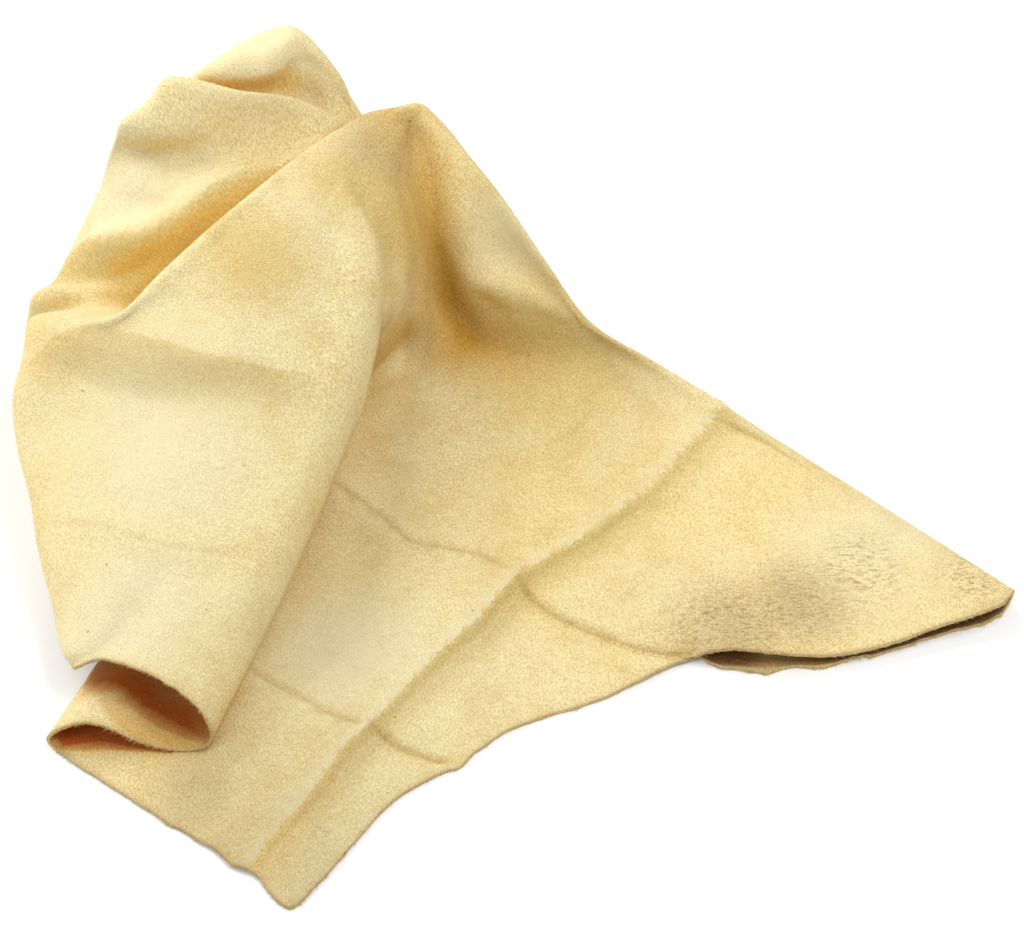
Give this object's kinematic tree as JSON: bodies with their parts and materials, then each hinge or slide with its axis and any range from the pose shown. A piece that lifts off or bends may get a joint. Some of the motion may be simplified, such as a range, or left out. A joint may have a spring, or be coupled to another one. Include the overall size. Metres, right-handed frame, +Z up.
{
  "type": "chamois leather",
  "caption": "Chamois leather for drying and polishing: a thin oil-tanned skin with a soft nap on both sides, cut along the front and let down in a loose heap of folds.",
  "frame": {"origin": "on the table, under the middle of the heap's box", "axes": "+Z up from the table, +X to the folded wing's side, -Y towards the straight cut edge at the front"},
  "size_m": [0.4132, 0.4567, 0.099],
  "materials": {
    "chamois": "matt nap like suede on both sides, undyed pale yellow"
  },
  "bodies": {
    "root": {"chamois_skin": "chamois"}
  },
  "joints": []
}
